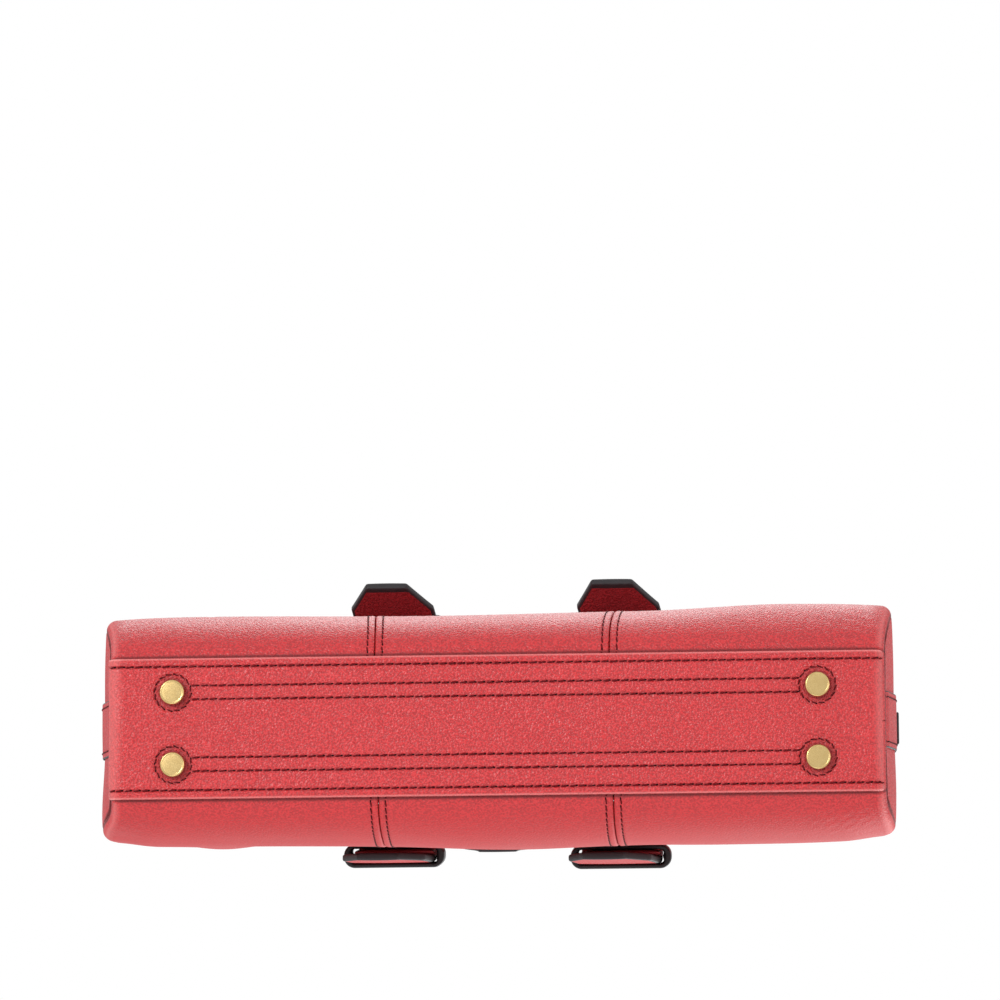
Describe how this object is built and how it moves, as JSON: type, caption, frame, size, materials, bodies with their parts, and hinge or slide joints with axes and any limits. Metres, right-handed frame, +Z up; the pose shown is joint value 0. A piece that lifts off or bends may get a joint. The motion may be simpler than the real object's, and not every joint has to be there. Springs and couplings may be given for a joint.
{
  "type": "satchel handbag",
  "caption": "Structured leather satchel handbag with rolled top handles that fold, a magnetic closing flap over the open top, end D-rings and metal feet under a sewn base panel",
  "frame": {"origin": "on the standing plane, where the feet touch the table, under the middle of the overall length and depth, which is 5 mm behind the middle of the base", "axes": "+X runs along the bag from its left end to its right end as seen from the front, +Y runs from the front to the back and +Z is up"},
  "size_m": [0.3518, 0.1266, 0.3479],
  "materials": {
    "red_leather": "fine pebbled grain with a soft sheen",
    "dark_edge_leather": "dark grey painted leather edge",
    "brass": "pale polished brass",
    "steel": "plated steel",
    "lining_twill": "tan cotton twill",
    "board": "grey fibre board"
  },
  "bodies": {
    "bag": {"base_panel": "red_leather", "flap_anchor": "red_leather", "facing_front": "red_leather", "facing_back": "red_leather", "front_panel_left": "red_leather", "front_panel_center": "red_leather", "front_panel_right": "red_leather", "back_panel_left": "red_leather", "back_panel_center": "red_leather", "back_panel_right": "red_leather", "gusset_left": "red_leather", "gusset_right": "red_leather", "side_band_left": "red_leather", "side_band_right": "red_leather", "ring_tab_left": "red_leather", "ring_tab_right": "red_leather", "strap_front_left": "red_leather", "strap_front_right": "red_leather", "strap_back_left": "red_leather", "strap_back_right": "red_leather", "strap_pad_front_left": "red_leather", "strap_pad_front_right": "red_leather", "strap_pad_back_left": "red_leather", "strap_pad_back_right": "red_leather", "keeper_front_left": "dark_edge_leather", "keeper_front_right": "dark_edge_leather", "keeper_back_left": "dark_edge_leather", "keeper_back_right": "dark_edge_leather", "foot_front_left": "brass", "foot_front_right": "brass", "foot_back_left": "brass", "foot_back_right": "brass", "foot_washer_front_left": "steel", "foot_washer_front_right": "steel", "foot_washer_back_left": "steel", "foot_washer_back_right": "steel", "wall_magnet": "steel", "lining_front": "lining_twill", "lining_back": "lining_twill", "lining_left": "lining_twill", "lining_right": "lining_twill", "lining_floor": "lining_twill", "base_board": "board"},
    "front_handle": {"handle_roll_front": "red_leather", "handle_wrap_front": "red_leather"},
    "back_handle": {"handle_roll_back": "red_leather", "handle_wrap_back": "red_leather"},
    "flap": {"closing_flap": "red_leather", "flap_plate": "steel"},
    "left_ring": {"side_ring_left": "brass"},
    "right_ring": {"side_ring_right": "brass"}
  },
  "joints": [
    {"name": "front_handle_fold", "type": "hinge", "parent": "bag", "child": "front_handle", "pos_m": [0, -0.04912, 0.2385], "axis": [1, 0, 0], "range_deg": [-5, 158]},
    {"name": "back_handle_fold", "type": "hinge", "parent": "bag", "child": "back_handle", "pos_m": [0, 0.03828, 0.2385], "axis": [-1, 0, 0], "range_deg": [-5, 158]},
    {"name": "flap_lift", "type": "hinge", "parent": "bag", "child": "flap", "pos_m": [0, 0.03768, 0.235], "axis": [-1, 0, 0], "range_deg": [0, 75]},
    {"name": "left_ring_swing", "type": "hinge", "parent": "bag", "child": "left_ring", "pos_m": [-0.16996, -0.00542, 0.222], "axis": [0, -1, 0], "range_deg": [0, 156]},
    {"name": "right_ring_swing", "type": "hinge", "parent": "bag", "child": "right_ring", "pos_m": [0.16996, -0.00542, 0.222], "axis": [0, 1, 0], "range_deg": [0, 156]}
  ]
}
